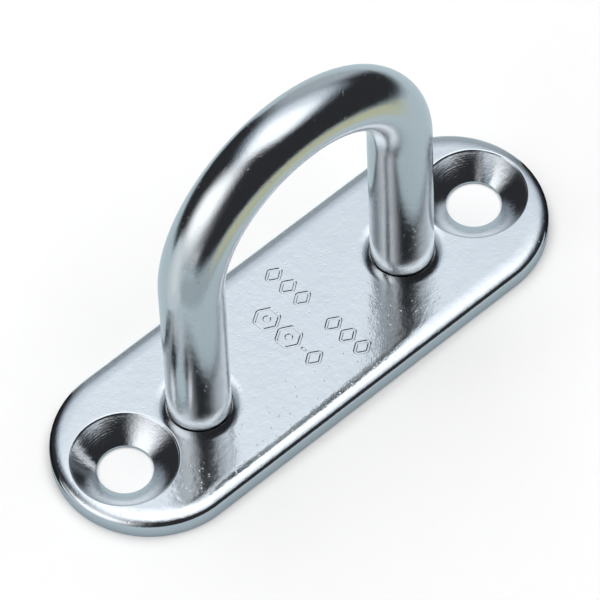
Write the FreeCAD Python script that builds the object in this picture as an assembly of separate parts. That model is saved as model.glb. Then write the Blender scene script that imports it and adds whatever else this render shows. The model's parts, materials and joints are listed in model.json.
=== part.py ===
import FreeCAD, Part
import math
import os

# A pad eye: a polished rod bent into an eye, standing in an obround base plate and welded to it
# from below. Lengths are in millimetres. The origin is the middle of the plate's underside, +X
# runs along the plate, +Y across it and +Z up through the eye.

# Driving dimensions
ROD_DIAMETER = 5.0
LEG_SPACING = 20.9             # between the two legs' axes
LEG_STRAIGHT = 14.8            # from the plate's top face to the start of the bend
PLATE_LENGTH = 46.1
PLATE_WIDTH = 15.5
PLATE_THICKNESS = 1.7
EDGE_BREAK = 0.06              # deburred lower edge of the plate
SCREW_SPACING = 36.0
SCREW_HOLE_DIAMETER = 4.3
LEG_CLEARANCE = 0.07           # gap round a leg in its hole
GROOVE_SIZE = 0.8              # 45 degree weld groove under the plate
ROD_END_RECESS = 0.15          # the rod's ends stop this far above the underside
WELD_RECESS = 0.05             # the weld's outer edge stops this far above the underside
WELD_CROWN = 0.04              # how far the bead swells below the line between its two edges

# How the top face turns down, arc by arc: radius, then the turn at the arc's start and at its
# end, in degrees from level
EDGE_ROLL = ((5.0, 0, 8), (1.7, 8, 30), (0.55, 30, 90))
LEG_HOLE_ROLL = ((2.0, 0, 27), (0.12, 27, 90))
COUNTERSINK_ROLL = ((0.22, 0, 60), (12.95, 29.5, 40))

# Punched marks on the plate's top face, between the legs
MARK_DEPTH = 0.09
MARK_STROKE = 0.3
MARK_TILT = 2.5                # degrees, the punch was not quite square to the plate
DIAMOND_HEIGHT = 1.95
DIAMOND_WIDTH = 1.4
DIAMOND_PITCH = 1.55
DIAMONDS_PER_GROUP = 3
GROUP_CENTRE_Y = 3.25          # the upper row has a group of diamonds each side of the middle
UPPER_ROW_X = 1.75
LOWER_ROW_X = -1.5
LOWER_DIAMOND_Y = -2.9
HEXAGON_RADIUS = 1.15
HEXAGON_PLACES_Y = (-0.15, 2.25)
DOT_DIAMETER = 0.7
DASH_Y = -1.75
DASH_LENGTH = 0.5

# Sizes worked out from the driving dimensions
ROD_RADIUS = ROD_DIAMETER / 2
BEND_RADIUS = LEG_SPACING / 2
BEND_HEIGHT = PLATE_THICKNESS + LEG_STRAIGHT
LEG_HOLE_RADIUS = ROD_RADIUS + LEG_CLEARANCE
SCREW_HOLE_RADIUS = SCREW_HOLE_DIAMETER / 2
UP = FreeCAD.Vector(0, 0, 1)
ALONG_Y = FreeCAD.Vector(0, 1, 0)
SIDES = {"left": -1, "right": 1}


def point(x, y, z):
    return FreeCAD.Vector(x, y, z)


def line_edges(corners):
    """Straight edges from corner to corner."""
    return [Part.makeLine(start, end) for start, end in zip(corners, corners[1:])]


def turned(edges, x):
    """The solid that a closed profile in the XZ plane sweeps round the upright axis at x."""
    face = Part.Face(Part.Wire(edges))
    return face.revolve(point(0, 0, 0), UP, 360).translated(point(x, 0, 0))


def roll_arcs(roll, end_x):
    """The (start, middle, end) of each arc that turns the top face down, the last at end_x.

    The arcs come in from the middle of the plate if end_x is the plate's edge, and from outside
    the hole if it is a hole's radius.
    """
    way = 1 if end_x == PLATE_WIDTH / 2 else -1
    spans = [(radius, math.radians(first), math.radians(last)) for radius, first, last in roll]
    x = end_x - way * sum(radius * (math.sin(last) - math.sin(first))
                          for radius, first, last in spans)
    z = PLATE_THICKNESS
    arcs = []
    for radius, first, last in spans:
        corners = [point(x + way * radius * (math.sin(turn) - math.sin(first)), 0,
                         z + radius * (math.cos(turn) - math.cos(first)))
                   for turn in (first, (first + last) / 2, last)]
        arcs.append(corners)
        x, z = corners[-1].x, corners[-1].z
    return arcs


def arc_edges(arcs):
    return [Part.Arc(*corners).toShape() for corners in arcs]


def edge_section():
    """Half of the plate's section in the XZ plane, from its middle out to its edge."""
    arcs = roll_arcs(EDGE_ROLL, PLATE_WIDTH / 2)
    top = [point(0, 0, 0), point(0, 0, PLATE_THICKNESS), arcs[0][0]]
    side = [arcs[-1][-1], point(PLATE_WIDTH / 2, 0, EDGE_BREAK),
            point(PLATE_WIDTH / 2 - EDGE_BREAK, 0, 0), top[0]]
    return line_edges(top) + arc_edges(arcs) + line_edges(side)


def rolled_plate():
    """The plate's blank: an obround with its upper edge rolled over all the way round."""
    reach = PLATE_LENGTH / 2 - PLATE_WIDTH / 2
    half_section = Part.Face(Part.Wire(edge_section()))
    half_section.rotate(point(0, 0, 0), UP, 90)
    half_bar = half_section.translated(point(-reach, 0, 0)).extrude(point(2 * reach, 0, 0))
    bar = half_bar.fuse(half_bar.mirror(point(0, 0, 0), ALONG_Y))
    ends = [turned(edge_section(), side * reach) for side in SIDES.values()]
    return bar.fuse(ends).removeSplitter()


def rolled_hole(roll, radius, lower, x):
    """The space of a round hole whose mouth is rolled in, run a little past both faces.

    Lower holds the (radius, height) corners of its wall from the underside up to the roll.
    """
    past = 1.0
    arcs = roll_arcs(roll, radius)
    mouth = arcs[0][0]
    above = [mouth, mouth + UP * past, point(0, 0, mouth.z + past), point(0, 0, -past)]
    below = [above[-1], point(lower[0][0], 0, -past)]
    below += [point(reach, 0, level) for reach, level in lower] + [arcs[-1][-1]]
    rising = [list(reversed(corners)) for corners in reversed(arcs)]
    return turned(line_edges(below) + arc_edges(rising) + line_edges(above), x)


def screw_hole(x):
    """A countersunk screw hole. Its flank is a shallow arc that steepens towards the hole."""
    return rolled_hole(COUNTERSINK_ROLL, SCREW_HOLE_RADIUS, [(SCREW_HOLE_RADIUS, 0)], x)


def leg_hole(x):
    """One leg's hole: drawn-in mouth on top, straight wall, weld groove below."""
    groove = [(LEG_HOLE_RADIUS + GROOVE_SIZE, 0), (LEG_HOLE_RADIUS, GROOVE_SIZE)]
    return rolled_hole(LEG_HOLE_ROLL, LEG_HOLE_RADIUS, groove, x)


def polygon_prism(corners, floor, height):
    """An upright prism over flat corners given as (x, y) pairs."""
    ring = [point(x, y, floor) for x, y in corners + corners[:1]]
    wire = Part.Wire(line_edges(ring))
    return Part.Face(wire).extrude(point(0, 0, height))


def outlined(corners_at, floor, height):
    """The band between a figure's outer and inner outlines, MARK_STROKE wide."""
    outer = polygon_prism(corners_at(0), floor, height)
    inner = polygon_prism(corners_at(MARK_STROKE), floor, height)
    return outer.cut(inner)


def diamond(x, y, floor, height):
    """An open diamond, drawn as one stroke."""
    half_x = DIAMOND_HEIGHT / 2
    half_y = DIAMOND_WIDTH / 2
    slant = math.hypot(half_x, half_y)

    def corners_at(inset):
        rise = half_x - inset * slant / half_y
        reach = half_y - inset * slant / half_x
        return [(x + rise, y), (x, y + reach), (x - rise, y), (x, y - reach)]

    return outlined(corners_at, floor, height)


def hexagon(x, y, floor, height):
    """An open hexagon with a round dot in its middle, with two corners along Y."""
    def corners_at(inset):
        radius = HEXAGON_RADIUS - inset / math.cos(math.pi / 6)
        return [(x + radius * math.cos(math.radians(turn)),
                 y + radius * math.sin(math.radians(turn))) for turn in range(30, 360, 60)]

    dot = Part.makeCylinder(DOT_DIAMETER / 2, height, point(x, y, floor), UP)
    return [outlined(corners_at, floor, height), dot]


def dash(x, y, floor, height):
    """A short straight stroke that runs across the plate."""
    half_x = MARK_STROKE / 2
    half_y = DASH_LENGTH / 2
    corners = [(x - half_x, y - half_y), (x + half_x, y - half_y),
               (x + half_x, y + half_y), (x - half_x, y + half_y)]
    return polygon_prism(corners, floor, height)


def punched_marks():
    """Shallow punched marks in two rows: plain figures, with no lettering."""
    floor = PLATE_THICKNESS - MARK_DEPTH
    height = 1.0
    marks = []
    for group in (-1, 1):
        for place in range(DIAMONDS_PER_GROUP):
            offset = (place - (DIAMONDS_PER_GROUP - 1) / 2) * DIAMOND_PITCH
            marks.append(diamond(UPPER_ROW_X, group * GROUP_CENTRE_Y + offset, floor, height))
    for y in HEXAGON_PLACES_Y:
        marks += hexagon(LOWER_ROW_X, y, floor, height)
    marks.append(dash(LOWER_ROW_X, DASH_Y, floor, height))
    marks.append(diamond(LOWER_ROW_X, LOWER_DIAMOND_Y, floor, height))
    return [mark.rotated(point(0, 0, 0), UP, MARK_TILT) for mark in marks]


def base_plate():
    cutters = punched_marks()
    for side in SIDES.values():
        cutters.append(screw_hole(side * SCREW_SPACING / 2))
        cutters.append(leg_hole(side * LEG_SPACING / 2))
    return rolled_plate().cut(cutters)


def leg(x):
    """One straight leg, with its lower end chamfered for the weld."""
    chamfer = GROOVE_SIZE - ROD_END_RECESS
    end = Part.makeCone(ROD_RADIUS - chamfer, ROD_RADIUS, chamfer,
                        point(x, 0, ROD_END_RECESS), UP)
    shank = Part.makeCylinder(ROD_RADIUS, BEND_HEIGHT - GROOVE_SIZE,
                              point(x, 0, GROOVE_SIZE), UP)
    return end.fuse(shank)


def eye_bow():
    """The round rod: two legs joined by a half-circle bend."""
    section = Part.Face(Part.Wire(Part.makeCircle(
        ROD_RADIUS, point(BEND_RADIUS, 0, BEND_HEIGHT), UP)))
    bend = section.revolve(point(0, 0, BEND_HEIGHT), ALONG_Y, -180)
    legs = [leg(side * LEG_SPACING / 2) for side in SIDES.values()]
    return bend.fuse(legs).removeSplitter()


def weld(x):
    """One ring of weld that fills the groove between a rod end and the plate's underside."""
    inner = point(ROD_RADIUS - GROOVE_SIZE + ROD_END_RECESS, 0, ROD_END_RECESS)
    outer = point(LEG_HOLE_RADIUS + GROOVE_SIZE - WELD_RECESS, 0, WELD_RECESS)
    crown = (inner + outer) * 0.5 - point(0, 0, WELD_CROWN)
    rod_root = point(ROD_RADIUS, 0, GROOVE_SIZE)
    plate_root = point(LEG_HOLE_RADIUS, 0, GROOVE_SIZE)
    edges = [Part.Arc(inner, crown, outer).toShape(), Part.makeLine(outer, plate_root),
             Part.makeLine(plate_root, rod_root), Part.makeLine(rod_root, inner)]
    return turned(edges, x)


def build():
    nodes = {"base_plate": base_plate(), "eye_bow": eye_bow()}
    for name, side in SIDES.items():
        nodes["weld_" + name] = weld(side * LEG_SPACING / 2)
    return nodes


os.makedirs("parts", exist_ok=True)
for node, shape in build().items():
    solid = shape.Solids[0]
    if len(shape.Solids) != 1 or not solid.isValid():
        raise ValueError(node + " is not one valid solid")
    solid.exportStep(os.path.join("parts", node + ".step"))
    box = solid.optimalBoundingBox()
    print(node, "volume", round(solid.Volume, 2),
          "x", round(box.XMin, 3), round(box.XMax, 3),
          "y", round(box.YMin, 3), round(box.YMax, 3),
          "z", round(box.ZMin, 3), round(box.ZMax, 3))
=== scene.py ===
import json
import math
from typing import NamedTuple

import bpy
import bmesh
import numpy as np
from mathutils import Matrix, Vector, geometry


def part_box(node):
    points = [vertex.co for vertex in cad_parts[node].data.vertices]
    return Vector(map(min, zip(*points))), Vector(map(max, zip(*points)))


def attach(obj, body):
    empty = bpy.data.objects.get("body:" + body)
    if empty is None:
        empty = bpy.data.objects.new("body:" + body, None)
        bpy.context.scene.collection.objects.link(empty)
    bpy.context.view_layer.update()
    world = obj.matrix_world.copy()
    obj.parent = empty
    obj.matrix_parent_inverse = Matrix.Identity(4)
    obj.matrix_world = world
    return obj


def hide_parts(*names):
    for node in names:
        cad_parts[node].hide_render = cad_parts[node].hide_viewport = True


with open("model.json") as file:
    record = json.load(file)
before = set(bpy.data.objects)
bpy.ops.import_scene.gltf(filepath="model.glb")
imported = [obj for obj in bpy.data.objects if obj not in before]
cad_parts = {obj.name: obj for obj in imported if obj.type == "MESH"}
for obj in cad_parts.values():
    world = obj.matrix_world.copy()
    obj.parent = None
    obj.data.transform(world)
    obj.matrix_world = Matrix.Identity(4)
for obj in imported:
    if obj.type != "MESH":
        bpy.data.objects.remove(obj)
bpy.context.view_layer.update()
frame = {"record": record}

# A welded pad eye in polished stainless steel. Shapes are worked out in millimetres in the CAD
# frame (origin under the middle of the plate, +X along it, +Z up) and scaled to metres at the end.

MM = 0.001
MICRON = 0.000001


def size_of(node):
    """(lowest corner, highest corner) of a CAD node, in millimetres."""
    low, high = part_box(node)
    return low / MM, high / MM


PLATE_LOW, PLATE_HIGH = size_of("base_plate")
BOW_LOW, BOW_HIGH = size_of("eye_bow")
WELD_LOW, WELD_HIGH = size_of("weld_right")
MOUNTS = {mount["name"]: mount for mount in frame["record"]["mounts"]}
SCREW_DIMS = MOUNTS["screw_holes"]["dims"]

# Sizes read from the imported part
PLATE_LENGTH = PLATE_HIGH.x - PLATE_LOW.x
PLATE_WIDTH = PLATE_HIGH.y - PLATE_LOW.y
PLATE_TOP = PLATE_HIGH.z
ROD_RADIUS = (BOW_HIGH.y - BOW_LOW.y) / 2
BEND_RADIUS = BOW_HIGH.x - ROD_RADIUS
BEND_HEIGHT = BOW_HIGH.z - ROD_RADIUS - BEND_RADIUS
ROD_END = BOW_LOW.z
LEG_X = BEND_RADIUS
GROOVE_TOP = WELD_HIGH.z
ROD_END_RADIUS = ROD_RADIUS - (GROOVE_TOP - ROD_END)
SCREW_X = SCREW_DIMS["spacing_x_mm"] / 2
SCREW_RADIUS = SCREW_DIMS["hole_r_mm"]
REACH = PLATE_LENGTH / 2 - PLATE_WIDTH / 2
SIDES = {"left": -1, "right": 1}

# Small sizes that repeat the CAD part's own. A roll is a row of arcs that turn the top face
# down: radius, then the turn at the arc's start and at its end, in degrees from level.
LEG_HOLE_RADIUS = 2.57
EDGE_ROLL = ((5.0, 0, 8), (1.7, 8, 30), (0.55, 30, 90))
LEG_HOLE_ROLL = ((2.0, 0, 27), (0.12, 27, 90))
COUNTERSINK_ROLL = ((0.22, 0, 60), (12.95, 29.5, 40))
EDGE_BREAK = 0.06
MARK_DEPTH = 0.09
MARK_STROKE = 0.3
MARK_TILT = math.radians(2.5)

# How finely the curved skins are divided
ARC_STEPS = 96
HOLE_STEPS = 144
ROD_STEPS = 96
STRAIGHT_STEP = 0.5

# Extra loops stand this far from the corners of a small chamfer, to keep them crisp
CORNER_STEP = 0.03

# The plate's looks besides the polished one, which is look 0
TURNED, MILLED = 1, 2


class Skin:
    """Points, their normals and the faces of one closed mesh, in millimetres.

    A face's look is the place of its material in the piece's slots.
    """

    def __init__(self):
        self.points = []
        self.normals = []
        self.faces = []
        self.looks = []

    def loop(self, points, normals):
        """Adds points with their normals, and gives their numbers in the mesh."""
        first = len(self.points)
        self.points += [tuple(p) for p in points]
        self.normals += [tuple(n) for n in normals]
        return list(range(first, len(self.points)))

    def face(self, corners, look=0):
        self.faces.append(tuple(corners))
        self.looks.append(look)

    def strip(self, one, other, look=0):
        """Quads between two closed loops with as many points each."""
        count = len(one)
        for i in range(count):
            j = (i + 1) % count
            self.face((one[i], one[j], other[j], other[i]), look)

    def strips(self, loops, look=0):
        for one, other in zip(loops, loops[1:]):
            self.strip(one, other, look)

    def fan(self, loop, point, normal):
        """Closes a loop with triangles to one middle point."""
        middle = self.loop([point], [normal])[0]
        for i, corner in enumerate(loop):
            self.face((corner, loop[(i + 1) % len(loop)], middle))

    def piece(self, name, materials):
        """The finished Blender object, in metres, with smooth shading from the normals."""
        mesh = bpy.data.meshes.new(name)
        mesh.from_pydata([[c * MM for c in p] for p in self.points], [], self.faces)
        for material in materials:
            mesh.materials.append(material)
        mesh.polygons.foreach_set("material_index", self.looks)
        mesh.polygons.foreach_set("use_smooth", [True] * len(self.faces))
        facing = bmesh.new()
        facing.from_mesh(mesh)
        bmesh.ops.recalc_face_normals(facing, faces=facing.faces)
        facing.to_mesh(mesh)
        facing.free()
        mesh.normals_split_custom_set_from_vertices(self.normals)
        piece = bpy.data.objects.new(name, mesh)
        bpy.context.scene.collection.objects.link(piece)
        return piece


# ---- the plate ----

def obround_points():
    """(middle of the arc or the foot on the straight, outward direction) round the plate."""
    places = []
    straight = int(2 * REACH / STRAIGHT_STEP)
    for side, first in ((1, -90), (-1, 90)):
        for step in range(ARC_STEPS + 1):
            turn = math.radians(first + 180 * step / ARC_STEPS)
            places.append(((side * REACH, 0), (math.cos(turn), math.sin(turn))))
        for step in range(1, straight):
            x = side * REACH * (1 - 2 * step / straight)
            places.append(((x, 0), (0, side)))
    return places


class Arc(NamedTuple):
    """One arc of a roll, as it turns down from one turn to another, in radians from level.

    The reach shrinks along a roll: it is the inset from the plate's edge, or the radius from a
    hole's axis.
    """

    centre_reach: float
    centre_level: float
    radius: float
    first: float
    last: float

    def reach(self, turn):
        return self.centre_reach - self.radius * math.sin(turn)

    def level(self, turn):
        return self.centre_level + self.radius * math.cos(turn)


def roll_arcs(roll, end):
    """The arcs of a roll that starts level with the top face and ends at that reach."""
    spans = [(radius, math.radians(first), math.radians(last)) for radius, first, last in roll]
    reach = end + sum(radius * (math.sin(last) - math.sin(first))
                      for radius, first, last in spans)
    level = PLATE_TOP
    arcs = []
    for radius, first, last in spans:
        arc = Arc(reach + radius * math.sin(first), level - radius * math.cos(first),
                  radius, first, last)
        arcs.append(arc)
        reach, level = arc.reach(last), arc.level(last)
    return arcs


EDGE_ARCS = roll_arcs(EDGE_ROLL, 0.0)
EDGE_CORNER = EDGE_ARCS[-1]
ROLL_INSET = EDGE_ARCS[0].centre_reach
CORNER_INSET = EDGE_CORNER.reach(EDGE_CORNER.first)
DIMPLE_ARC, LEG_HOLE_CORNER = roll_arcs(LEG_HOLE_ROLL, LEG_HOLE_RADIUS)
DIMPLE_RADIUS = DIMPLE_ARC.centre_reach
DIMPLE_END = DIMPLE_ARC.reach(DIMPLE_ARC.last)


def edge_profile():
    """(inset, height, turn from level) from the underside up the side to the top face's roll."""
    break_steps, side_steps, roll_steps = 4, 4, 16
    profile = []
    for step in range(break_steps + 1):
        turn = math.radians(180 - 90 * step / break_steps)
        profile.append((EDGE_BREAK * (1 - math.sin(turn)), EDGE_BREAK * (1 + math.cos(turn)), turn))
    corner = EDGE_CORNER
    for step in range(1, side_steps):
        rise = (corner.centre_level - EDGE_BREAK) * step / side_steps
        profile.append((0, EDGE_BREAK + rise, math.pi / 2))
    for step in range(roll_steps + 1):
        turn = corner.last + (corner.first - corner.last) * step / roll_steps
        profile.append((corner.reach(turn), corner.level(turn), turn))
    return profile


def top_surface(x, y):
    """Height and normal of the plate's upper surface.

    It is flat, with a roll towards the plate's edge and a dimple round each leg. A dimple's
    curve reaches a little past its end, so that points on the end count as in it.
    """
    past_end = 0.2
    level, normal = PLATE_TOP, (0, 0, 1)
    foot = min(max(x, -REACH), REACH)
    reach = math.hypot(x - foot, y)
    inset = PLATE_WIDTH / 2 - reach
    if inset < ROLL_INSET:
        for arc in EDGE_ARCS:
            lean = min((arc.centre_reach - inset) / arc.radius, 1.0)
            if lean <= math.sin(arc.last):
                break
        normal = ((x - foot) / reach * lean, y / reach * lean, math.sqrt(1 - lean ** 2))
        level = arc.centre_level + arc.radius * normal[2]
    for side in SIDES.values():
        away = math.hypot(x - side * LEG_X, y)
        if DIMPLE_END - past_end < away < DIMPLE_RADIUS:
            lean = (DIMPLE_RADIUS - away) / DIMPLE_ARC.radius
            rise = math.sqrt(1 - lean ** 2)
            dimple_level = DIMPLE_ARC.centre_level + DIMPLE_ARC.radius * rise
            if dimple_level < level:
                level = dimple_level
                normal = ((side * LEG_X - x) / away * lean, -y / away * lean, rise)
    return level, normal


def plate_edge(skin):
    """The loops of the plate's edge, from the underside to where the top face's roll ends."""
    loops = []
    for inset, level, turn in edge_profile():
        points, normals = [], []
        for (x, y), (nx, ny) in obround_points():
            out = PLATE_WIDTH / 2 - inset
            points.append((x + nx * out, y + ny * out, level))
            normals.append((nx * math.sin(turn), ny * math.sin(turn), math.cos(turn)))
        loops.append(skin.loop(points, normals))
    return loops


def round_loops(skin, x, profile, blend=None):
    """Loops round the upright axis at x. A profile point is (radius, height, turn from level).

    Near the top they follow the top face's shape, less and less down to the blend's depth.
    """
    loops = []
    for radius, level, turn in profile:
        points, normals = [], []
        for step in range(HOLE_STEPS):
            angle = 2 * math.pi * step / HOLE_STEPS
            c, s = math.cos(angle), math.sin(angle)
            top, top_normal = top_surface(x + radius * c, radius * s)
            share = max(0.0, 1 - (PLATE_TOP - level) / blend) if blend else 0.0
            points.append((x + radius * c, radius * s, level - (PLATE_TOP - top) * share))
            normals.append((math.sin(turn) * c + top_normal[0] * share,
                            math.sin(turn) * s + top_normal[1] * share, math.cos(turn)))
        loops.append(skin.loop(points, normals))
    return loops


def arc_profile(arc, steps):
    """(radius, height, turn from level) down one arc of a hole's roll; normals lean inwards."""
    return [(arc.reach(turn), arc.level(turn), -turn)
            for turn in np.linspace(arc.first, arc.last, steps + 1)]


def leg_hole_profile():
    """Tight corner, straight wall and weld groove, from the dimple to the underside."""
    groove_mouth = LEG_HOLE_RADIUS + GROOVE_TOP
    groove_turn = math.radians(-135)
    wall_end = GROOVE_TOP + 0.05
    corner_steps = 8
    return arc_profile(LEG_HOLE_CORNER, corner_steps) + [
        (LEG_HOLE_RADIUS, wall_end, -math.pi / 2),
        (LEG_HOLE_RADIUS + CORNER_STEP, GROOVE_TOP - CORNER_STEP, groove_turn),
        (groove_mouth - CORNER_STEP, CORNER_STEP, groove_turn),
        (groove_mouth, 0, -math.pi)]


def turned_flank(arc):
    """A countersink's flank with the fine grooves that turning leaves in it.

    Their spacing wanders and their depth swells down the flank, and they fade at its ends.
    """
    grooves, depth, steps = 13, 0.001, 78
    length = arc.radius * (arc.last - arc.first)
    flank = []
    for step, (radius, level, turn) in enumerate(arc_profile(arc, steps)):
        share = step / steps
        wander = 0.012 * math.sin(9 * share)
        swell = 0.6 + 0.4 * math.sin(17 * share)
        phase = 2 * math.pi * grooves * (share + wander)
        fade = math.sin(math.pi * share) ** 0.5 * swell
        lift = depth * fade * math.sin(phase)
        tilt = depth * fade * math.cos(phase) * 2 * math.pi * grooves / length
        flank.append((radius + lift * math.sin(turn), level + lift * math.cos(turn), turn + tilt))
    return flank


def countersink_profile():
    """Rolled mouth, turned flank, straight wall and lower edge.

    One step bridges the corner from the mouth to the flank. A tight corner at the throat takes
    the place of the flank's last two points.
    """
    mouth_steps = 14
    mouth, flank = roll_arcs(COUNTERSINK_ROLL, SCREW_RADIUS)
    upright, sloping = -math.pi / 2, -math.radians(135)
    throat = PLATE_TOP - depth_of(COUNTERSINK_ROLL)
    corner, corner_turn = 0.012, -math.radians(58)
    wall_start = throat - 0.02
    halfway = EDGE_BREAK * 0.3
    return (arc_profile(mouth, mouth_steps)[:-1] + turned_flank(flank)[1:-2]
            + [(SCREW_RADIUS + corner, throat + corner, corner_turn),
               (SCREW_RADIUS, wall_start, upright),
               (SCREW_RADIUS, EDGE_BREAK, upright),
               (SCREW_RADIUS + halfway, halfway, sloping),
               (SCREW_RADIUS + EDGE_BREAK, 0, -math.pi)])


def depth_of(roll):
    """How far a roll's end lies below the top face."""
    return sum(radius * (math.cos(math.radians(first)) - math.cos(math.radians(last)))
               for radius, first, last in roll)


# Punched marks: plain figures in two rows, with no lettering

def rounded_polygon(corners, radius):
    """(point, outward direction) round a convex polygon with rounded corners."""
    corner_steps = 6
    places = []
    count = len(corners)
    for i in range(count):
        before = np.subtract(corners[i - 1], corners[i])
        after = np.subtract(corners[(i + 1) % count], corners[i])
        before, after = before / np.linalg.norm(before), after / np.linalg.norm(after)
        middle = before + after
        middle /= np.linalg.norm(middle)
        half = math.acos(float(np.dot(before, middle)))
        centre = np.asarray(corners[i]) + middle * radius / math.sin(half)
        spread = math.pi / 2 - half
        outward = math.atan2(-middle[1], -middle[0])
        for step in range(corner_steps + 1):
            turn = outward - spread + 2 * spread * step / corner_steps
            direction = np.array([math.cos(turn), math.sin(turn)])
            places.append((centre + direction * radius, direction))
    return places


def tilted(x, y):
    """A point or direction of the marks, turned as the punch was."""
    c, s = math.cos(MARK_TILT), math.sin(MARK_TILT)
    return x * c - y * s, x * s + y * c


def mark_loops(skin, places, section):
    """One loop for each (offset, depth, turn) of a mark's section, round the figure's line."""
    loops = []
    for offset, depth, turn in section:
        points, normals = [], []
        for (x, y), (nx, ny) in places:
            px, py = tilted(x + nx * offset, y + ny * offset)
            qx, qy = tilted(nx, ny)
            points.append((px, py, PLATE_TOP - depth))
            normals.append((qx * math.sin(turn), qy * math.sin(turn), math.cos(turn)))
        loops.append(skin.loop(points, normals))
    return loops


def groove_side(edge):
    """(offset, depth, turn) down one side of a punched groove, with its slightly raised lip."""
    return [(edge + 0.05, 0.0, 0.0),
            (edge + 0.03, -0.002, math.radians(5)),
            (edge + 0.015, -0.003, 0.0),
            (edge, 0.08 * MARK_DEPTH, -math.radians(24)),
            (edge - 0.03, 0.42 * MARK_DEPTH, -math.radians(44)),
            (edge - 0.06, 0.86 * MARK_DEPTH, -math.radians(28)),
            (edge - 0.085, MARK_DEPTH, 0.0)]


def groove_section(edge):
    """A groove's section right across, from outside in."""
    side = groove_side(edge)
    return side + [(-offset, depth, -turn) for offset, depth, turn in reversed(side)]


def diamond_places(x, y):
    half_x, half_y, rounding = 0.86, 0.57, 0.2
    corners = [(x + half_x, y), (x, y + half_y), (x - half_x, y), (x, y - half_y)]
    return rounded_polygon(corners, rounding)


def hexagon_places(x, y):
    radius, rounding = 1.02, 0.24
    turns = [math.radians(turn) for turn in range(30, 360, 60)]
    corners = [(x + radius * math.cos(turn), y + radius * math.sin(turn)) for turn in turns]
    return rounded_polygon(corners, rounding)


def pill_places(x, y, half_length, half_width):
    """The outline of a dash that runs across the plate, or of a dot if half_length is 0."""
    steps = 12
    places = []
    for side, first in ((1, 0), (-1, 180)):
        for step in range(steps + 1 if half_length else steps):
            turn = math.radians(first + 180 * step / steps)
            direction = np.array([math.cos(turn), math.sin(turn)])
            middle = np.array([x, y + side * half_length])
            places.append((middle + direction * half_width, direction))
    return places


def punched_marks(skin):
    """The marks' skins, in the CAD part's places. Gives the loops where they meet the top."""
    lip_inset = 0.02
    edge = MARK_STROKE / 2 - lip_inset
    upper_row, lower_row = 1.75, -1.5
    group_centre, pitch = 3.25, 1.55
    hexagons, last_diamond, dash = (-0.15, 2.25), -2.9, -1.75
    dot_radius, dash_half_length, dash_half_width = 0.33, 0.12, 0.13
    meets = []
    outlines = [diamond_places(upper_row, side * group_centre + (place - 1) * pitch)
                for side in (-1, 1) for place in range(3)]
    outlines += [hexagon_places(lower_row, y) for y in hexagons]
    outlines.append(diamond_places(lower_row, last_diamond))
    for places in outlines:
        loops = mark_loops(skin, places, groove_section(edge))
        skin.strips(loops)
        meets += [loops[0], loops[-1]]
    pills = [pill_places(lower_row, y, 0.0, dot_radius) for y in hexagons]
    pills.append(pill_places(lower_row, dash, dash_half_length, dash_half_width))
    for places in pills:
        loops = mark_loops(skin, places, groove_side(0.0))
        skin.strips(loops)
        skin.face(loops[-1])
        meets.append(loops[0])
    return meets


def inside_loop(skin, loop, points):
    """For each (x, y) of points, True if it lies inside the loop seen from above."""
    ring = np.array([skin.points[i][:2] for i in loop])
    x1, y1 = ring[:, 0], ring[:, 1]
    x2, y2 = np.roll(x1, 1), np.roll(y1, 1)
    x, y = points[:, 0:1], points[:, 1:2]
    spans = (y1 > y) != (y2 > y)
    rise = np.where(y2 == y1, 1.0, y2 - y1)
    crossings = spans & (x < (x2 - x1) * (y - y1) / rise + x1)
    return crossings.sum(axis=1) % 2 == 1


def clear_of(skin, loop, points, margin):
    """For each (x, y) of points, True if it is at least margin from the loop's points."""
    ring = np.array([skin.points[i][:2] for i in loop])
    gaps = np.linalg.norm(points[:, None] - ring[None], axis=2)
    return gaps.min(axis=1) >= margin


def on_face(skin, points, loops):
    """For each (x, y) of points, True if it lies on the face: inside an odd number of loops."""
    return sum(inside_loop(skin, loop, points).astype(int) for loop in loops) % 2 == 1


def fill_face(skin, loops, extra, margin, surface, look=0):
    """Fills a face. Its loops are its outline, its holes, islands in them and holes in those.

    Extra (x, y) points on the face, at least margin from its loops, give it its shape: the
    surface gives a point's height and normal.
    """
    same_point = 1e-6
    extra = np.array(extra)
    keep = on_face(skin, extra, loops)
    for loop in loops:
        keep &= clear_of(skin, loop, extra, margin)
    placed = [surface(x, y) for x, y in extra[keep]]
    inner = skin.loop([(x, y, level) for (x, y), (level, _) in zip(extra[keep], placed)],
                      [normal for _, normal in placed])
    used = [i for loop in loops for i in loop] + inner
    edges = []
    first = 0
    for loop in loops:
        edges += [(first + i, first + (i + 1) % len(loop)) for i in range(len(loop))]
        first += len(loop)
    flat = [Vector(skin.points[i][:2]) for i in used]
    _, _, triangles, origins, _, _ = geometry.delaunay_2d_cdt(flat, edges, [], 0, same_point)
    corners = [[used[origins[i][0]] for i in triangle] for triangle in triangles]
    middles = np.array([[skin.points[i][:2] for i in three] for three in corners]).mean(axis=1)
    for three, wanted in zip(corners, on_face(skin, middles, loops)):
        if wanted:
            skin.face(three, look)


def plate_grid(spacing):
    """A square grid of (x, y) over the plate's box."""
    across = np.arange(-PLATE_LENGTH / 2, PLATE_LENGTH / 2, spacing) + spacing / 2
    along = np.arange(-PLATE_WIDTH / 2, PLATE_WIDTH / 2, spacing) + spacing / 2
    return [(x, y) for x in across for y in along]


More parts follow.
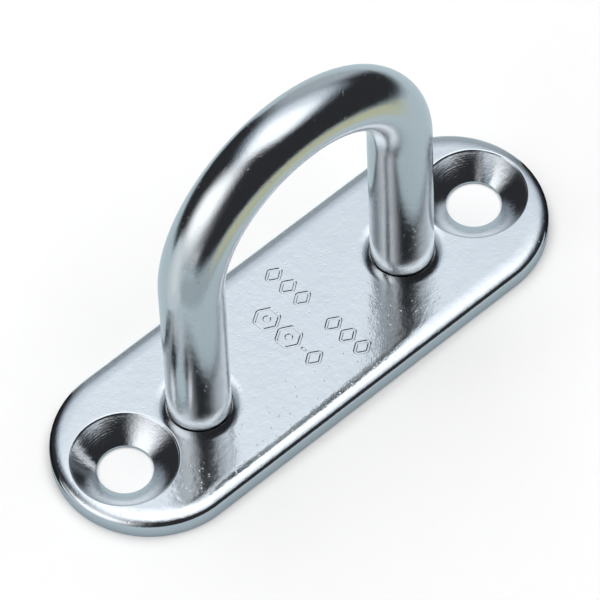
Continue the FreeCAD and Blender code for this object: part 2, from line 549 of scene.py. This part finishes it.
def roll_points():
    """(x, y) places in rings over the roll of the top face's edge and the legs' dimples."""
    places = []
    rings = 16
    for step in range(rings):
        out = PLATE_WIDTH / 2 - ROLL_INSET + (ROLL_INSET - CORNER_INSET) * step / rings
        places += [(x + nx * out, y + ny * out) for (x, y), (nx, ny) in obround_points()]
    for side in SIDES.values():
        for step in range(rings + 1):
            out = DIMPLE_END + (DIMPLE_RADIUS - DIMPLE_END) * step / rings
            places += [(side * LEG_X + out * math.cos(2 * math.pi * i / HOLE_STEPS),
                        out * math.sin(2 * math.pi * i / HOLE_STEPS))
                       for i in range(HOLE_STEPS)]
    return places


def make_plate(materials):
    """The plate. Its materials are for its polished, turned and milled faces, in this order."""
    mouth_radius = COUNTERSINK_ROLL[0][0]
    top_spacing, top_margin = 0.8, 0.06
    bottom_spacing, bottom_margin = 1.2, 0.3
    skin = Skin()
    edge = plate_edge(skin)
    skin.strips(edge)
    top_loops, bottom_loops = [edge[-1]], [edge[0]]
    for side in SIDES.values():
        leg_loops = round_loops(skin, side * LEG_X, leg_hole_profile())
        skin.strips(leg_loops)
        sink_loops = round_loops(skin, side * SCREW_X, countersink_profile(), mouth_radius)
        skin.strips(sink_loops, TURNED)
        top_loops += [leg_loops[0], sink_loops[0]]
        bottom_loops += [leg_loops[-1], sink_loops[-1]]
    top_loops += punched_marks(skin)
    flat_grid = [(x, y) for x, y in plate_grid(top_spacing)
                 if top_surface(x, y)[0] == PLATE_TOP]
    fill_face(skin, top_loops, flat_grid + roll_points(), top_margin, top_surface)
    fill_face(skin, bottom_loops, plate_grid(bottom_spacing), bottom_margin,
              lambda x, y: (0.0, (0, 0, -1)), MILLED)
    return skin.piece("base_plate_polished", materials)


# ---- the rod ----

def rod_path():
    """(middle, direction) of the rod's line from one end to the other."""
    leg_steps, bend_steps = 24, 96
    leg_rise = BEND_HEIGHT - GROOVE_TOP
    path = []
    for step in range(leg_steps):
        path.append(((-LEG_X, GROOVE_TOP + leg_rise * step / leg_steps), (0, 1)))
    for step in range(bend_steps + 1):
        turn = math.pi * (1 - step / bend_steps)
        middle = (BEND_RADIUS * math.cos(turn), BEND_HEIGHT + BEND_RADIUS * math.sin(turn))
        path.append((middle, (math.sin(turn), -math.cos(turn))))
    for step in range(1, leg_steps + 1):
        path.append(((LEG_X, BEND_HEIGHT - leg_rise * step / leg_steps), (0, -1)))
    return path


def rod_loop(skin, middle, direction, radius, lean=0.0):
    """A ring of the rod's skin; lean turns its normals towards the rod's direction."""
    (x, z), (dx, dz) = middle, direction
    points, normals = [], []
    for step in range(ROD_STEPS):
        turn = 2 * math.pi * step / ROD_STEPS
        across, side = math.cos(turn), math.sin(turn)
        out = (dz * across, side, -dx * across)
        points.append((x + out[0] * radius, out[1] * radius, z + out[2] * radius))
        normals.append((out[0] * math.cos(lean) + dx * math.sin(lean),
                        out[1] * math.cos(lean),
                        out[2] * math.cos(lean) + dz * math.sin(lean)))
    return skin.loop(points, normals)


def make_bow(materials):
    """The bent rod. The chamfer at each end starts level with the top of the weld groove."""
    skin = Skin()
    ends = []
    for x, flow in ((-LEG_X, 1), (LEG_X, -1)):
        lean = -flow * math.pi / 4
        rings = [rod_loop(skin, (x, level), (0, flow), radius, turn) for level, radius, turn in
                 ((ROD_END, ROD_END_RADIUS - CORNER_STEP, -flow * math.pi / 2),
                  (ROD_END + CORNER_STEP, ROD_END_RADIUS, lean),
                  (GROOVE_TOP - CORNER_STEP, ROD_RADIUS - CORNER_STEP, lean))]
        ends.append(rings if flow > 0 else rings[::-1])
    rings = ends[0] + [rod_loop(skin, middle, direction, ROD_RADIUS)
                       for middle, direction in rod_path()] + ends[1]
    skin.strips(rings)
    skin.fan(rings[0], (-LEG_X, 0, ROD_END), (0, 0, -1))
    skin.fan(rings[-1], (LEG_X, 0, ROD_END), (0, 0, -1))
    return skin.piece("eye_bow_polished", materials)


# ---- the welds ----

WELD_INNER = ROD_END_RADIUS
WELD_OUTER = WELD_HIGH.x - LEG_X


def bead_level(share, turn):
    """Height of the bead's rippled skin, that share of the way out from the rod's end."""
    outer_level, sag, ripple, ripples, lag = 0.05, 0.035, 0.02, 34, 12.0
    chord = ROD_END + (outer_level - ROD_END) * share
    belly = math.sin(math.pi * share)
    wave = math.sin(ripples * turn + lag * (share - 0.5) ** 2)
    return max(chord - sag * belly + ripple * belly * (1 + wave) / 2, WELD_LOW.z)


def bead_normal(share, turn):
    """Downward normal of the bead's skin, from its slopes outwards and round."""
    width = WELD_OUTER - WELD_INNER
    radius = WELD_INNER + width * share
    tiny = 0.001
    outwards = (bead_level(share + tiny, turn) - bead_level(share - tiny, turn)) / (2 * tiny)
    around = (bead_level(share, turn + tiny) - bead_level(share, turn - tiny)) / (2 * tiny)
    c, s = math.cos(turn), math.sin(turn)
    outwards, around = outwards / width, around / radius
    return Vector((outwards * c - around * s, outwards * s + around * c, -1)).normalized()


def make_weld(name, x, materials):
    """A ring of weld bead under the plate, with the ripples of its run."""
    across, steps = 12, 360
    skin = Skin()
    turns = [2 * math.pi * step / steps for step in range(steps)]
    loops = []
    for place in range(across + 1):
        share = place / across
        radius = WELD_INNER + (WELD_OUTER - WELD_INNER) * share
        points = [(x + radius * math.cos(turn), radius * math.sin(turn), bead_level(share, turn))
                  for turn in turns]
        loops.append(skin.loop(points, [bead_normal(share, turn) for turn in turns]))
    root = [skin.loop([(x + radius * math.cos(turn), radius * math.sin(turn), GROOVE_TOP)
                       for turn in turns], [(0, 0, 1)] * steps)
            for radius in (LEG_HOLE_RADIUS, ROD_RADIUS)]
    skin.strips(loops + root + [loops[0]])
    return skin.piece(name, materials)


# ---- materials ----

class Nodes:
    """A small helper that adds nodes to a node tree and links them."""

    def __init__(self, tree):
        self.tree = tree

    def add(self, kind, values=(), **settings):
        node = self.tree.nodes.new(kind)
        for key, value in settings.items():
            setattr(node, key, value)
        for socket, value in dict(values).items():
            node.inputs[socket].default_value = value
        return node

    def link(self, source, target):
        self.tree.links.new(source, target)


class Surface(Nodes):
    """A new material and its nodes. Places on the surface are in metres."""

    def __init__(self, name):
        self.material = bpy.data.materials.new(name)
        self.material.use_nodes = True
        super().__init__(self.material.node_tree)
        self.shader = self.tree.nodes["Principled BSDF"]

    def place(self):
        return self.add("ShaderNodeTexCoord").outputs["Object"]

    def noise(self, scale, detail=2.0, rough=0.5, vector=None):
        """Uneven values from 0 to 1. Scale is about how many grains there are to the metre."""
        node = self.add("ShaderNodeTexNoise", {"Scale": scale, "Detail": detail,
                                               "Roughness": rough})
        self.link(vector or self.place(), node.inputs["Vector"])
        return node.outputs["Fac"]

    def pits(self, spacing, radius, share):
        """Heights from 0 in a pit's middle to 1 outside it. Spacing and radius are in metres.

        The share is about how much of the grid of cells has a pit.
        """
        cells = self.add("ShaderNodeTexVoronoi", {"Scale": 1 / spacing})
        self.link(self.place(), cells.inputs["Vector"])
        bare = self.add("ShaderNodeMath", {1: share}, operation="GREATER_THAN")
        self.link(cells.outputs["Color"], bare.inputs[0])
        height = self.add("ShaderNodeMath", operation="MAXIMUM")
        self.link(self.spread(cells.outputs["Distance"], 0.0, 1.0, 0.0, radius / spacing),
                  height.inputs[0])
        self.link(bare.outputs["Value"], height.inputs[1])
        return height.outputs["Value"]

    def spread(self, source, low, high, start, end):
        """Turns values from start to end into values from low to high."""
        node = self.add("ShaderNodeMapRange", {"From Min": start, "From Max": end,
                                               "To Min": low, "To Max": high})
        self.link(source, node.inputs["Value"])
        return node.outputs["Result"]

    def bump(self, height, depth, before=None):
        """Relief of that depth in metres for heights from 0 to 1."""
        node = self.add("ShaderNodeBump", {"Strength": 1.0, "Distance": depth})
        self.link(height, node.inputs["Height"])
        if before is not None:
            self.link(before, node.inputs["Normal"])
        return node.outputs["Normal"]

    def mix(self, share, one, other):
        """One colour where the share is 0, and the other where it is 1."""
        node = self.add("ShaderNodeMix", data_type="RGBA")
        self.link(share, node.inputs["Factor"])
        node.inputs["A"].default_value = (*one, 1)
        node.inputs["B"].default_value = (*other, 1)
        return node.outputs["Result"]


def steel(name, dark, light, rough, patch=220.0):
    """Bare steel that drifts in patches from dark to light and through a range of roughness."""
    usual_low, usual_high = 0.3, 0.7
    nodes = Surface(name)
    drift = nodes.noise(patch, detail=3.0, rough=0.6)
    nodes.link(nodes.mix(drift, dark, light), nodes.shader.inputs["Base Color"])
    nodes.link(nodes.spread(drift, *rough, usual_low, usual_high),
               nodes.shader.inputs["Roughness"])
    nodes.shader.inputs["Metallic"].default_value = 1.0
    return nodes


def plate_steel():
    """Sheet polished in a barrel: orange-peel ripple, a fine speckle and scattered pits."""
    nodes = steel("plate_polished_steel", (0.60, 0.62, 0.64), (0.66, 0.68, 0.70), (0.07, 0.11))
    peel = nodes.bump(nodes.noise(1500.0), 14 * MICRON)
    speckle = nodes.bump(nodes.noise(9000.0, rough=0.6), 5 * MICRON, peel)
    pits = nodes.pits(spacing=0.4 * MM, radius=0.08 * MM, share=0.5)
    pitted = nodes.bump(pits, 12 * MICRON, speckle)
    nodes.link(pitted, nodes.shader.inputs["Normal"])
    return nodes.material


def turned_steel():
    """The countersinks' turned cones: bright, with the uneven chatter of the cut."""
    nodes = steel("countersink_turned_steel", (0.58, 0.60, 0.62), (0.66, 0.68, 0.70),
                  (0.05, 0.11))
    chatter = nodes.bump(nodes.noise(2500.0, detail=4.0, rough=0.7), 17 * MICRON)
    nodes.link(chatter, nodes.shader.inputs["Normal"])
    return nodes.material


def underside_steel():
    """The plate's underside, duller than the top, with the sheet's rolling grain along X."""
    nodes = steel("underside_mill_steel", (0.50, 0.51, 0.52), (0.60, 0.61, 0.62), (0.28, 0.40))
    stretch = nodes.add("ShaderNodeMapping", {"Scale": (0.06, 1.0, 1.0)})
    nodes.link(nodes.place(), stretch.inputs["Vector"])
    grain = nodes.noise(6000.0, detail=3.0, rough=0.6, vector=stretch.outputs["Vector"])
    nodes.link(nodes.bump(grain, 4 * MICRON), nodes.shader.inputs["Normal"])
    return nodes.material


def rod_steel():
    """Bright drawn rod, polished: a faint ripple, a fine speckle and scattered pits."""
    nodes = steel("rod_polished_steel", (0.60, 0.62, 0.63), (0.66, 0.68, 0.69), (0.07, 0.12))
    peel = nodes.bump(nodes.noise(1100.0), 9 * MICRON)
    speckle = nodes.bump(nodes.noise(9000.0, rough=0.6), 10 * MICRON, peel)
    pits = nodes.pits(spacing=0.4 * MM, radius=0.08 * MM, share=0.6)
    pitted = nodes.bump(pits, 14 * MICRON, speckle)
    nodes.link(pitted, nodes.shader.inputs["Normal"])
    return nodes.material


def weld_steel():
    """Weld bead: satin, with straw-coloured patches of heat tint."""
    nodes = steel("weld_bead_steel", (0.50, 0.47, 0.42), (0.60, 0.59, 0.60), (0.25, 0.45),
                  patch=700.0)
    grain = nodes.bump(nodes.noise(5000.0, detail=4.0, rough=0.6), 12 * MICRON)
    nodes.link(grain, nodes.shader.inputs["Normal"])
    return nodes.material


def plain(name, colour, scale=400.0, dapple=0.015):
    """A matt surface for the stage. The dapple is how much darker its darkest spots are."""
    nodes = Surface(name)
    drift = nodes.noise(scale)
    darker = [c * (1 - dapple) for c in colour]
    nodes.link(nodes.mix(drift, darker, colour), nodes.shader.inputs["Base Color"])
    nodes.shader.inputs["Roughness"].default_value = 0.9
    nodes.shader.inputs["Specular IOR Level"].default_value = 0.0
    return nodes.material


# ---- the stage, lights and camera ----

# The camera: turned about the part, raised above it and rolled a little, with a long lens
VIEW_AZIMUTH = math.radians(-40.032)
VIEW_ELEVATION = math.radians(55.145)
VIEW_ROLL = math.radians(-2.593)
VIEW_DISTANCE = 0.4973
VIEW_LENS = 389.7
VIEW_AIM = Vector((1.470, 1.792, 1.614)) * MM

# The studio's directions: AWAY and RIGHT are level, as the camera faces
AWAY = Vector((-math.sin(VIEW_AZIMUTH), math.cos(VIEW_AZIMUTH), 0))
RIGHT = Vector((math.cos(VIEW_AZIMUTH), math.sin(VIEW_AZIMUTH), 0))
UP = Vector((0, 0, 1))

# The floor's square and the dome round it, in metres
FLOOR_HALF = 1.1
DOME_RADIUS = 1.15


def studio(right, away, up):
    """A place in the studio, in metres: rightwards and away as the camera faces, and up."""
    return RIGHT * right + AWAY * away + UP * up


def card(name, corners, material, faces=None):
    """A stage piece with those corners: one flat face unless its faces are given."""
    mesh = bpy.data.meshes.new(name)
    mesh.from_pydata(corners, [], faces or [list(range(len(corners)))])
    mesh.materials.append(material)
    made = bpy.data.objects.new(name, mesh)
    bpy.context.scene.collection.objects.link(made)
    return made


def only_mirrored(made):
    """Hides a stage piece from everything but reflections."""
    made.visible_camera = False
    made.visible_diffuse = False
    made.visible_shadow = False


def mirrored_card(name, corners, lift, colour, **grain):
    """A flat card on the floor, at (right, away) corners, that only reflections show.

    It lies its lift above the floor, in microns, and covers cards with a smaller lift.
    """
    only_mirrored(card(name, [studio(right, away, lift * MICRON) for right, away in corners],
                       plain(name + "_paper", colour, **grain)))


def mirrored_shadow_strip(name, side, nearest):
    """Painted shadow: a low dark strip beside one end of the plate, standing in for the floor's
    contact shadow there, that darkens the plate's rim in reflections.

    It stands where the rim faces sideways by more than a least share, and towards the camera
    by less than nearest. Its height fades to nothing at both limits.
    """
    gap, height = 0.4, 1.6
    least_sideways, back_fade, near_fade = 0.645, 0.14, 0.3
    corners = []
    for (x, y), (nx, ny) in obround_points():
        facing = Vector((nx, ny, 0))
        rise = height * min((side * facing.dot(RIGHT) - least_sideways) / back_fade,
                            (facing.dot(AWAY) + nearest) / near_fade, 1.0)
        if rise > 0:
            foot = Vector((x, y, 0)) + facing * (PLATE_WIDTH / 2 + gap)
            corners += [foot * MM, (foot + UP * rise) * MM]
    faces = [(i, i + 1, i + 3, i + 2) for i in range(0, len(corners) - 2, 2)]
    # Painted shadow: the strip's near-black colour stands in for the shadowed floor beside the
    # plate
    only_mirrored(card(name, corners, plain(name + "_paper", (0.05, 0.055, 0.06)), faces))


def soft_light(name, place, width, height, power):
    """A large soft light that brightens the floor and leaves the metal's reflections alone."""
    data = bpy.data.lights.new(name, "AREA")
    data.shape = "RECTANGLE"
    data.size = width
    data.size_y = height
    data.energy = power
    made = bpy.data.objects.new(name, data)
    back = place.normalized()
    right = UP.cross(back).normalized()
    turn = Matrix((right, back.cross(right), back)).transposed().to_4x4()
    made.matrix_world = Matrix.Translation(place) @ turn
    made.visible_glossy = False
    bpy.context.scene.collection.objects.link(made)


class Sky(Nodes):
    """The studio round the object, as soft-edged patches of light by direction.

    A direction's place is (right, away) in degrees from the zenith, as on a round chart whose
    middle is straight up and whose rim at 90 is the horizon.
    """

    def __init__(self, name, dark):
        self.world = bpy.data.worlds.new(name)
        self.world.use_nodes = True
        super().__init__(self.world.node_tree)
        self.background = self.tree.nodes["Background"]
        direction = self.add("ShaderNodeTexCoord").outputs["Generated"]
        rise = self.along(direction, UP)
        level = self.math("SQRT", self.math("SUBTRACT", 1.0, self.math("POWER", rise, 2.0)))
        angle = self.math("DEGREES", self.math("ARCCOSINE", rise))
        never_zero = self.math("MAXIMUM", level, 0.0001)
        scale = self.math("DIVIDE", angle, never_zero)
        self.right = self.math("MULTIPLY", self.along(direction, RIGHT), scale)
        self.away = self.math("MULTIPLY", self.along(direction, AWAY), scale)
        self.colour = self.add("ShaderNodeRGB").outputs["Color"]
        self.colour.default_value = (*dark, 1)

    def along(self, direction, axis):
        """How much of a direction points along an axis."""
        node = self.add("ShaderNodeVectorMath", operation="DOT_PRODUCT")
        self.link(direction, node.inputs[0])
        node.inputs[1].default_value = axis
        return node.outputs["Value"]

    def math(self, operation, *values):
        node = self.add("ShaderNodeMath", operation=operation)
        for socket, value in zip(node.inputs, values):
            if isinstance(value, (int, float)):
                socket.default_value = value
            else:
                self.link(value, socket)
        return node.outputs["Value"]

    def patch(self, centre, half, colour, soft, turn=0.0, square=4.0):
        """Lays a rounded rectangle of light over what is there.

        Half is half its size each way and soft is the width of its edge, in degrees. Turn is in
        degrees too. Square is 2 for an ellipse, and more for squarer corners.
        """
        c, s = math.cos(math.radians(turn)), math.sin(math.radians(turn))
        x = self.math("SUBTRACT", self.right, centre[0])
        y = self.math("SUBTRACT", self.away, centre[1])
        across = self.math("ADD", self.math("MULTIPLY", x, c), self.math("MULTIPLY", y, s))
        along = self.math("SUBTRACT", self.math("MULTIPLY", y, c), self.math("MULTIPLY", x, s))
        parts = []
        for value, size in ((across, half[0]), (along, half[1])):
            share = self.math("ABSOLUTE", self.math("DIVIDE", value, size))
            parts.append(self.math("POWER", share, square))
        reach = self.math("POWER", self.math("ADD", *parts), 1 / square)
        edge = soft / min(half)
        fade = self.add("ShaderNodeMapRange", {"From Min": 1 + edge / 2, "From Max": 1 - edge / 2},
                        interpolation_type="SMOOTHSTEP")
        self.link(reach, fade.inputs["Value"])
        mix = self.add("ShaderNodeMix", data_type="RGBA", clamp_factor=True)
        self.link(fade.outputs["Result"], mix.inputs["Factor"])
        self.link(self.colour, mix.inputs["A"])
        mix.inputs["B"].default_value = (*colour, 1)
        self.colour = mix.outputs["Result"]

    def finish(self):
        """Makes this the scene's sky. It shines on glossy surfaces but not on matt ones."""
        self.link(self.colour, self.background.inputs["Color"])
        bpy.context.scene.world = self.world
        self.world.cycles_visibility.diffuse = False


def make_camera():
    data = bpy.data.cameras.new("camera")
    data.lens = VIEW_LENS
    data.sensor_width = 36.0
    data.clip_start = 0.01
    data.clip_end = 10.0
    made = bpy.data.objects.new("camera", data)
    back = (-AWAY * math.cos(VIEW_ELEVATION) + UP * math.sin(VIEW_ELEVATION)).normalized()
    up = back.cross(RIGHT)
    c, s = math.cos(VIEW_ROLL), math.sin(VIEW_ROLL)
    right, up = RIGHT * c + up * s, up * c - RIGHT * s
    turn = Matrix((right, up, back)).transposed().to_4x4()
    made.matrix_world = Matrix.Translation(VIEW_AIM + back * VIEW_DISTANCE) @ turn
    bpy.context.scene.collection.objects.link(made)
    bpy.context.scene.camera = made


def make_stage():
    """The floor that the camera sees, and the table and painted-shadow strips that the metal
    mirrors.
    """
    half = FLOOR_HALF
    floor = card("floor", [(-half, -half, 0), (half, -half, 0), (half, half, 0), (-half, half, 0)],
                 plain("pale_floor", (0.92, 0.92, 0.92)))
    floor.visible_glossy = False
    mirrored_card("table", [(-1.0, -0.075), (-0.03, -0.075), (-0.008, -0.052), (0.015, -0.052),
                            (0.035, -0.066), (0.06, -0.07), (0.06, 1.0), (-0.45, 1.0),
                            (-0.035, 0.07), (-0.07, 0.04), (-0.085, -0.01), (-1.0, -0.03)],
                  20, (0.545, 0.645, 0.695))
    mirrored_card("table_fringe", [(-1.0, -0.09), (-0.026, -0.09), (-0.006, -0.062),
                                   (0.016, -0.062), (0.042, -0.08), (0.078, -0.085),
                                   (0.078, 1.0), (-0.44, 1.0), (-0.04, 0.085),
                                   (-0.085, 0.05), (-0.1, 0.0), (-1.0, -0.01)],
                  10, (0.24, 0.29, 0.32))
    mirrored_card("table_near", [(-0.04, -0.027), (0.0, -0.024), (0.02, -0.02), (0.036, -0.05),
                                 (0.014, -0.052), (-0.01, -0.052), (-0.036, -0.055)],
                  25, (0.41, 0.485, 0.52))
    mirrored_card("green_tint", [(0.008, -0.036), (0.016, -0.05), (0.036, -0.064),
                                 (0.061, -0.06), (0.061, 0.02), (0.042, 0.008), (0.03, 0.001),
                                 (0.022, -0.012)],
                  30, (0.74, 0.77, 0.55), scale=90.0, dapple=0.5)
    mirrored_card("table_glow", [(-0.020, -0.010), (-1.0, -0.04), (-1.0, -0.75),
                                 (-0.022, -0.027)],
                  30, (0.66, 0.74, 0.78))
    mirrored_card("table_glow_middle", [(-0.030, -0.018), (-1.0, -0.16), (-1.0, -0.60),
                                        (-0.030, -0.026)],
                  40, (0.80, 0.86, 0.89))
    # Painted shadow: dark strips beside both ends of the plate, seen only in reflections
    for name, nearest in (("left", 0.6), ("right", 0.45)):
        mirrored_shadow_strip(name + "_painted_shadow", SIDES[name], nearest)


def make_backdrop():
    """A pale dome that only the camera sees, behind the floor in low views."""
    shape = bmesh.new()
    bmesh.ops.create_uvsphere(shape, u_segments=64, v_segments=32, radius=DOME_RADIUS)
    mesh = bpy.data.meshes.new("backdrop")
    shape.to_mesh(mesh)
    shape.free()
    nodes = Surface("pale_backdrop")
    nodes.shader.inputs["Base Color"].default_value = (0, 0, 0, 1)
    nodes.shader.inputs["Specular IOR Level"].default_value = 0.0
    nodes.shader.inputs["Emission Color"].default_value = (0.84, 0.845, 0.85, 1)
    nodes.shader.inputs["Emission Strength"].default_value = 1.0
    mesh.materials.append(nodes.material)
    dome = bpy.data.objects.new("backdrop", mesh)
    bpy.context.scene.collection.objects.link(dome)
    for sight in ("diffuse", "glossy", "transmission", "volume_scatter", "shadow"):
        setattr(dome, "visible_" + sight, False)


def make_sky():
    """What the polished metal mirrors above it.

    An overhead softbox fades into a grey backdrop, a second softbox stands on the left, and it
    is dark between them.
    """
    sky = Sky("studio", (0.035, 0.036, 0.040))
    sky.patch((4, 110), (34, 64), (0.50, 0.56, 0.60), soft=22, turn=-6, square=2.7)
    sky.patch((3, 21), (38, 34), (0.14, 0.21, 0.29), soft=24, square=3.6)
    sky.patch((3, 20), (33, 31), (0.95, 1.03, 1.11), soft=31, square=3.6)
    sky.patch((5, 6), (28, 22), (1.62, 1.68, 1.74), soft=20, turn=-8, square=3.5)
    sky.patch((-74, -66), (42, 23), (0.80, 0.84, 0.87), soft=38, square=2.8)
    sky.patch((-51, -31), (32, 27), (1.58, 1.62, 1.66), soft=31, turn=-25, square=2.7)
    sky.patch((-38, -91), (15, 5), (0.76, 0.80, 0.84), soft=7, turn=-22)
    sky.finish()


def make_lights():
    soft_light("overhead_soft", studio(0.05, 0.15, 0.95), width=1.6, height=1.4, power=16.5)
    soft_light("left_soft", studio(-0.55, -0.35, 0.45), width=0.6, height=0.5, power=1.4)


def dress(piece, nodes):
    """Puts a finished piece in place of CAD nodes."""
    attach(piece, "root")
    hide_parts(*nodes)


def main():
    plate = make_plate([plate_steel(), turned_steel(), underside_steel()])
    dress(plate, ["base_plate"])
    dress(make_bow([rod_steel()]), ["eye_bow"])
    bead = weld_steel()
    for name, side in SIDES.items():
        weld = make_weld("weld_bead_" + name, side * LEG_X, [bead])
        dress(weld, ["weld_" + name])
    make_camera()
    make_stage()
    make_backdrop()
    make_sky()
    make_lights()
    bpy.context.scene.view_settings.view_transform = "Standard"


main()
